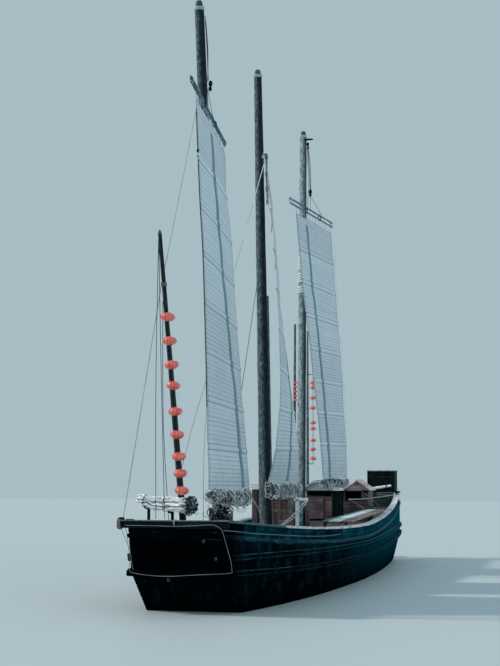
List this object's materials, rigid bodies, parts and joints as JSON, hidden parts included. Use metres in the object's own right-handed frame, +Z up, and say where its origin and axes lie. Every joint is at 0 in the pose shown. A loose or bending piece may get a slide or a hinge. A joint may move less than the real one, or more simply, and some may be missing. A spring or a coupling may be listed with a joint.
{
  "type": "seven-masted lake junk",
  "caption": "Flat-bottomed sailing junk with square raked bow, high stern, battened lug sails that slew on their masts, hatches, deckhouse and a raised rudder.",
  "frame": {"origin": "middle of the flat bottom, on its underside", "axes": "-Y is the bow and +Y the stern, +X is port, +Z is up"},
  "size_m": [4.75, 27.7585, 16.1114],
  "materials": {
    "tarred_hull": "near-black tar and oil over planks, satin",
    "bare_rail": "bare weathered timber, grey",
    "deck_wood": "oiled planks, worn",
    "mast": "oiled spruce-like pole, grey-brown",
    "sailcloth": "plain woven cotton, pale grey-blue",
    "rope": "laid natural fibre, weathered pale",
    "lantern": "red cloth over ribs",
    "house": "pinkish brown varnished planks, worn",
    "roof": "pale painted boards"
  },
  "bodies": {
    "root": {"hull": "tarred_hull", "bulwark_port": "tarred_hull", "bulwark_starboard": "tarred_hull", "gunwale_port": "bare_rail", "gunwale_starboard": "bare_rail", "wale_lower_port": "tarred_hull", "wale_lower_starboard": "tarred_hull", "wale_middle_port": "tarred_hull", "wale_middle_starboard": "tarred_hull", "bow_board": "tarred_hull", "stern_board": "tarred_hull", "bow_beam": "bare_rail", "bow_lower_beam": "tarred_hull", "bow_lantern_mast": "mast", "fore_mast": "mast", "main_mast": "mast", "mizzen_mast": "mast", "side_mast": "mast", "quarter_mast": "mast", "stern_lantern_mast": "mast", "bow_lanterns": "lantern", "quarter_lanterns": "lantern", "stern_lanterns": "lantern", "bow_stay": "rope", "house_front": "house", "house_side_port": "house", "house_side_starboard": "house", "house_back": "house", "roof_starboard": "roof", "roof_port": "roof", "fore_hatch_coaming": "deck_wood", "middle_hatch_coaming": "deck_wood", "stowed_sail": "sailcloth", "crutches": "deck_wood", "bitt_port": "bare_rail", "bitt_starboard": "bare_rail", "deck_locker": "house", "belaying_post": "bare_rail", "side_planks": "bare_rail", "stern_floor": "deck_wood", "stern_bulkhead": "house", "stern_box": "house", "stern_roll": "bare_rail"},
    "fore_rig": {"fore_sail": "sailcloth", "fore_yard": "mast", "fore_foot_bundle": "sailcloth"},
    "main_rig": {"main_sail": "sailcloth", "main_yard": "mast", "main_foot_bundle": "sailcloth"},
    "mizzen_rig": {"mizzen_sail": "sailcloth", "mizzen_yard": "mast", "mizzen_foot_bundle": "sailcloth"},
    "steering": {"rudder": "tarred_hull", "tiller": "mast"},
    "door": {"house_door": "house"},
    "fore_leaf_port": {"fore_hatch_leaf_port": "deck_wood"},
    "fore_leaf_starboard": {"fore_hatch_leaf_starboard": "deck_wood"},
    "middle_leaf_port": {"middle_hatch_leaf_port": "deck_wood"},
    "middle_leaf_starboard": {"middle_hatch_leaf_starboard": "deck_wood"}
  },
  "joints": [
    {"name": "fore_sail_slew", "type": "hinge", "parent": "root", "child": "fore_rig", "pos_m": [0, -8.72, 2.248], "axis": [0, -0.1461, 0.9893], "range_deg": [-70, 70]},
    {"name": "main_sail_slew", "type": "hinge", "parent": "root", "child": "main_rig", "pos_m": [0, -3.96, 2.065], "axis": [0, -0.0802, 0.9968], "range_deg": [-70, 60]},
    {"name": "mizzen_sail_slew", "type": "hinge", "parent": "root", "child": "mizzen_rig", "pos_m": [-0.21, 0.99, 2.0826], "axis": [0, 0.0419, 0.9991], "range_deg": [-70, 35]},
    {"name": "rudder_turn", "type": "hinge", "parent": "root", "child": "steering", "pos_m": [0, 12.95, 0.26], "axis": [0, 0, 1], "range_deg": [-40, 40]},
    {"name": "door_swing", "type": "hinge", "parent": "root", "child": "door", "pos_m": [-1.144, 6.054, 2.5], "axis": [0, 0, -1], "range_deg": [0, 100]},
    {"name": "fore_leaf_port_lift", "type": "hinge", "parent": "root", "child": "fore_leaf_port", "pos_m": [0.41, -6.55, 2.4393], "axis": [0, 1, 0], "range_deg": [0, 100]},
    {"name": "fore_leaf_starboard_lift", "type": "hinge", "parent": "root", "child": "fore_leaf_starboard", "pos_m": [-0.41, -6.55, 2.4393], "axis": [0, -1, 0], "range_deg": [0, 100]},
    {"name": "middle_leaf_port_lift", "type": "hinge", "parent": "root", "child": "middle_leaf_port", "pos_m": [0.41, -0.5, 2.3325], "axis": [0, 1, 0], "range_deg": [0, 100]},
    {"name": "middle_leaf_starboard_lift", "type": "hinge", "parent": "root", "child": "middle_leaf_starboard", "pos_m": [-0.41, -0.5, 2.3325], "axis": [0, -1, 0], "range_deg": [0, 100]}
  ]
}
